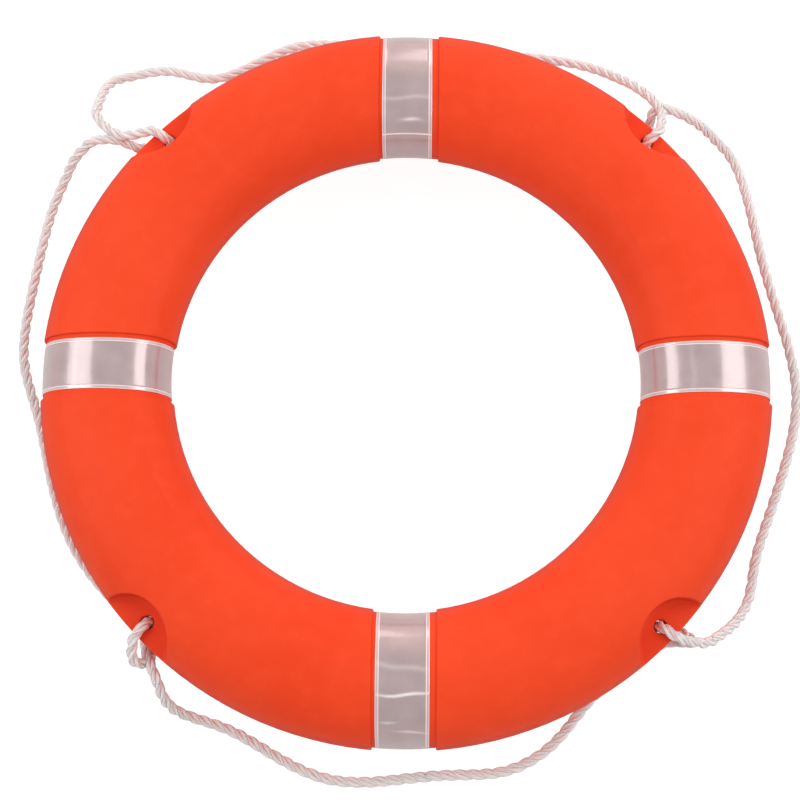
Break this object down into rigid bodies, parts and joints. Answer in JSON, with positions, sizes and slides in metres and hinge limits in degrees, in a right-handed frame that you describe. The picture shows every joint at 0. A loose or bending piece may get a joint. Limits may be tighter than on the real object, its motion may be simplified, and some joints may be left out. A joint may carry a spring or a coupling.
{
  "type": "ring lifebuoy",
  "caption": "Ring lifebuoy: an oval-section moulded ring with reflective tape bands and a white grab line that hangs in loops between corner rope pockets.",
  "frame": {"origin": "the ring's centre, on its axis at mid-thickness", "axes": "+Z is the ring's axis and points out of the front face, +Y is the top of the ring, +X the right-hand side seen from the front"},
  "size_m": [0.7973, 0.7746, 0.1],
  "materials": {
    "shell_plastic": "satin orange moulded polyethylene",
    "foam": "closed-cell foam",
    "tape": "silver-white reflective film",
    "rope": "white three-strand rope"
  },
  "bodies": {
    "ring": {"shell": "shell_plastic", "foam_core": "foam", "filler_plug": "shell_plastic", "reflective_tape_top": "tape", "reflective_tape_right": "tape", "reflective_tape_bottom": "tape", "reflective_tape_left": "tape", "rope_eye_lower_left": "rope", "rope_eye_upper_left": "rope", "rope_eye_upper_right": "rope", "rope_eye_lower_right": "rope"},
    "loop_bottom": {"grab_loop_bottom": "rope"},
    "loop_left": {"grab_loop_left": "rope"},
    "loop_top": {"grab_loop_top": "rope"},
    "loop_right": {"grab_loop_right": "rope"}
  },
  "joints": [
    {"name": "bottom_loop_swing", "type": "hinge", "parent": "ring", "child": "loop_bottom", "pos_m": [0.26508, -0.25598, -0.0205], "axis": [-0.9961, -0.0853, 0.023], "range_deg": [-20, 30]},
    {"name": "left_loop_swing", "type": "hinge", "parent": "ring", "child": "loop_left", "pos_m": [-0.24115, -0.26595, -0.023], "axis": [-0.1708, 0.9846, 0.0367], "range_deg": [-60, 25]},
    {"name": "top_loop_swing", "type": "hinge", "parent": "ring", "child": "loop_top", "pos_m": [-0.32302, 0.28079, -0.005], "axis": [0.9993, 0.0363, 0.0035], "range_deg": [-60, 90]},
    {"name": "right_loop_swing", "type": "hinge", "parent": "ring", "child": "loop_right", "pos_m": [0.2863, 0.27647, -0.003], "axis": [0.0137, -0.9999, -0.0075], "range_deg": [-60, 90]}
  ]
}
